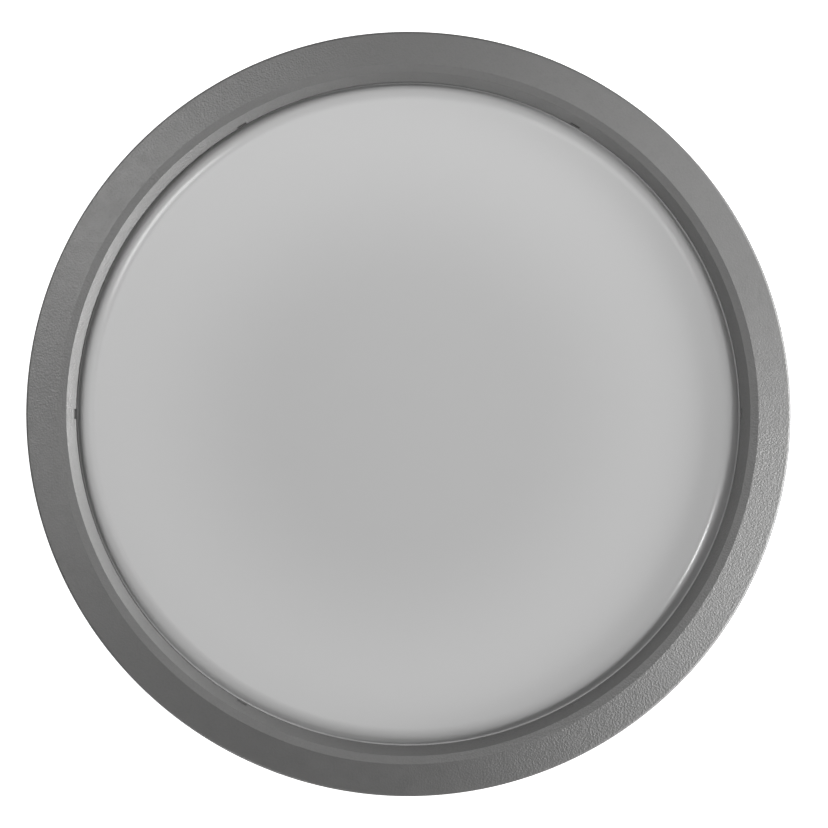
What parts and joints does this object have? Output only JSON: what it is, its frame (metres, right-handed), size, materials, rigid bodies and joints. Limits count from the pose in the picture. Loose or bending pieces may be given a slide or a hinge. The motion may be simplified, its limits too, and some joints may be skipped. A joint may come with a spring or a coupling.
{
  "type": "bulkhead light",
  "caption": "Round wall or ceiling light: a grained grey ring unscrews with its opal diffuser from a sealed back pan that holds the LED board, driver and terminal block.",
  "frame": {"origin": "centre of the flat back face that meets the wall", "axes": "+Z along the light's axis, out of the diffuser; +Y towards the upper side cable entry; the LED board's connector lies towards +X"},
  "size_m": [0.3, 0.3, 0.0585],
  "materials": {
    "grained_grey": "silver-grey moulded polycarbonate with a leather-like grain, satin",
    "opal": "opal diffusing polycarbonate, smooth satin gloss",
    "silicone": "translucent grey silicone, satin",
    "foam": "closed-cell black foam, matt",
    "black_rubber": "black rubber, satin",
    "white_sheet": "white stove-enamelled steel sheet, semi-gloss",
    "solder_mask": "white solder mask on an aluminium board, satin",
    "green_board": "green glass-fibre board",
    "white_plastic": "white nylon, satin",
    "black_plastic": "black nylon, satin",
    "orange_plastic": "orange nylon, satin",
    "plated_steel": "zinc-plated steel",
    "tape_wrap": "yellow polyester winding tape",
    "line_cover": "brown wire insulation",
    "neutral_cover": "blue wire insulation",
    "earth_cover": "green and yellow wire insulation",
    "led_plus_cover": "red wire insulation",
    "led_minus_cover": "black wire insulation"
  },
  "bodies": {
    "pan": {"base_housing": "grained_grey", "wall_seal": "foam", "diffuser_gasket": "silicone", "screw_seal_1": "black_rubber", "screw_seal_2": "black_rubber", "screw_seal_3": "black_rubber", "entry_grommet": "black_rubber", "side_plug_top": "grained_grey", "side_plug_bottom": "grained_grey", "gear_tray": "white_sheet", "led_board": "solder_mask", "board_connector": "white_plastic", "tray_bush": "black_rubber", "selector_switch": "black_plastic", "driver_case": "white_plastic", "driver_lid": "white_plastic", "driver_board": "green_board", "driver_transformer": "tape_wrap", "driver_capacitor": "black_plastic", "terminal_block": "white_plastic", "cable_clamp": "black_plastic", "earth_screw": "plated_steel", "earth_tag": "plated_steel", "earth_nut": "plated_steel", "wire_line": "line_cover", "wire_neutral": "neutral_cover", "wire_earth": "earth_cover", "wire_led_plus": "led_plus_cover", "wire_led_minus": "led_minus_cover", "tray_screw_1": "plated_steel", "tray_screw_2": "plated_steel", "tray_screw_3": "plated_steel", "board_screw_1": "plated_steel", "board_screw_2": "plated_steel", "board_screw_3": "plated_steel", "driver_screw_1": "plated_steel", "driver_screw_2": "plated_steel", "clamp_screw_1": "plated_steel", "clamp_screw_2": "plated_steel"},
    "cover": {"diffuser": "opal"},
    "ring": {"trim_ring": "grained_grey"},
    "selector": {"selector_knob": "white_plastic"},
    "line_button": {"button_line": "orange_plastic"},
    "neutral_button": {"button_neutral": "orange_plastic"},
    "earth_button": {"button_earth": "orange_plastic"}
  },
  "joints": [
    {"name": "cover_lift", "type": "slide", "parent": "pan", "child": "cover", "axis": [0, 0, 1], "range_m": [0, 0.0301]},
    {"name": "ring_twist", "type": "hinge", "parent": "cover", "child": "ring", "pos_m": [0, 0, 0.045], "axis": [0, 0, 1], "range_deg": [0, 225]},
    {"name": "selector_slide", "type": "slide", "parent": "pan", "child": "selector", "axis": [0, 1, 0], "range_m": [-0.0025, 0.0025]},
    {"name": "press_line", "type": "slide", "parent": "pan", "child": "line_button", "axis": [0, 0, -1], "range_m": [0, 0.0015], "stiffness_N_per_m": 1000, "springref_m": -0.0006},
    {"name": "press_neutral", "type": "slide", "parent": "pan", "child": "neutral_button", "axis": [0, 0, -1], "range_m": [0, 0.0015], "stiffness_N_per_m": 1000, "springref_m": -0.0006},
    {"name": "press_earth", "type": "slide", "parent": "pan", "child": "earth_button", "axis": [0, 0, -1], "range_m": [0, 0.0015], "stiffness_N_per_m": 1000, "springref_m": -0.0006}
  ],
  "couplings": [
    {"joint": "cover_lift", "follows": "ring_twist", "m_per_rad": 0.0076394}
  ]
}
